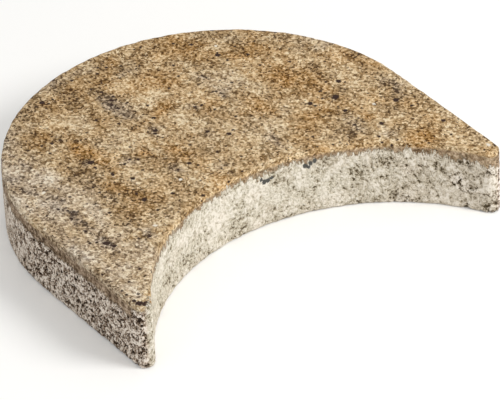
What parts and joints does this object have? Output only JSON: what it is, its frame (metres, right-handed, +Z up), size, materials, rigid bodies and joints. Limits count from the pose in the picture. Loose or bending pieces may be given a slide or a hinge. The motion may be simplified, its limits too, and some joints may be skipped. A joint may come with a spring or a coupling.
{
  "type": "garden edging stone",
  "caption": "Flat concrete lawn edging stone with a half-round back and a matching round recess, so that stones nest in a row.",
  "frame": {"origin": "centre of the half-round back, on the underside that the stone is bedded on", "axes": "+X from side to side, +Y towards the half-round back, +Z up out of the top face"},
  "size_m": [0.266, 0.2411, 0.045],
  "materials": {
    "concrete": "matte"
  },
  "bodies": {
    "root": {"edging_stone": "concrete"}
  },
  "joints": []
}
